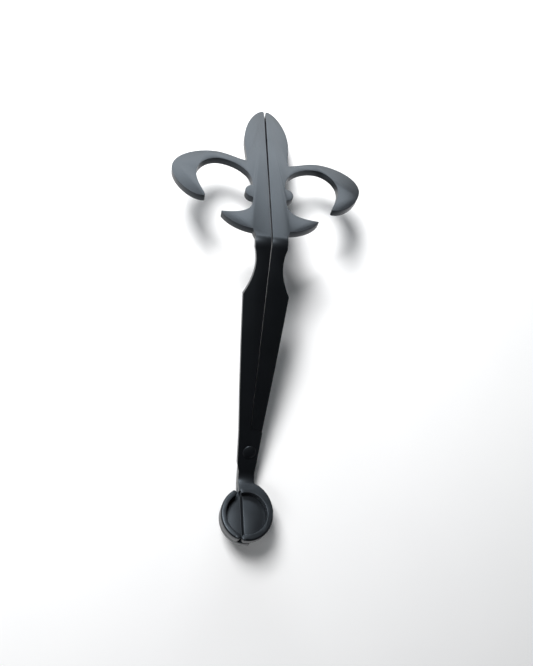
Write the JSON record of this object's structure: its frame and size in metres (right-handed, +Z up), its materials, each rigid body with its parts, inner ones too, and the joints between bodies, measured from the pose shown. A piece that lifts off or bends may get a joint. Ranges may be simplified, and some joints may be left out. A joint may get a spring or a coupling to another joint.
{
  "type": "wick trimmer",
  "caption": "Scissor wick trimmer with a split fleur-de-lis handle, a long bent shank and a round tray head that shears and catches the wick.",
  "frame": {"origin": "on the table surface, under the middle of the tool's outline", "axes": "+Z up, +Y from the round head towards the tip of the handle, +X to the right when the tool is seen from above with the handle tip away from the viewer"},
  "size_m": [0.08, 0.1911, 0.0373],
  "materials": {
    "black_coat": "matte black powder coat",
    "bare_steel": "dull ground steel"
  },
  "bodies": {
    "rear": {"rear_arm": "black_coat", "rear_rim": "black_coat", "pivot_rivet": "black_coat", "friction_washer": "bare_steel", "back_washer": "black_coat"},
    "front": {"front_arm": "black_coat", "front_blade": "black_coat"}
  },
  "joints": [
    {"name": "pivot", "type": "hinge", "parent": "rear", "child": "front", "pos_m": [0.0005, -0.05794, 0.01019], "axis": [0, -0.3109, 0.9504], "range_deg": [0, 35]}
  ]
}
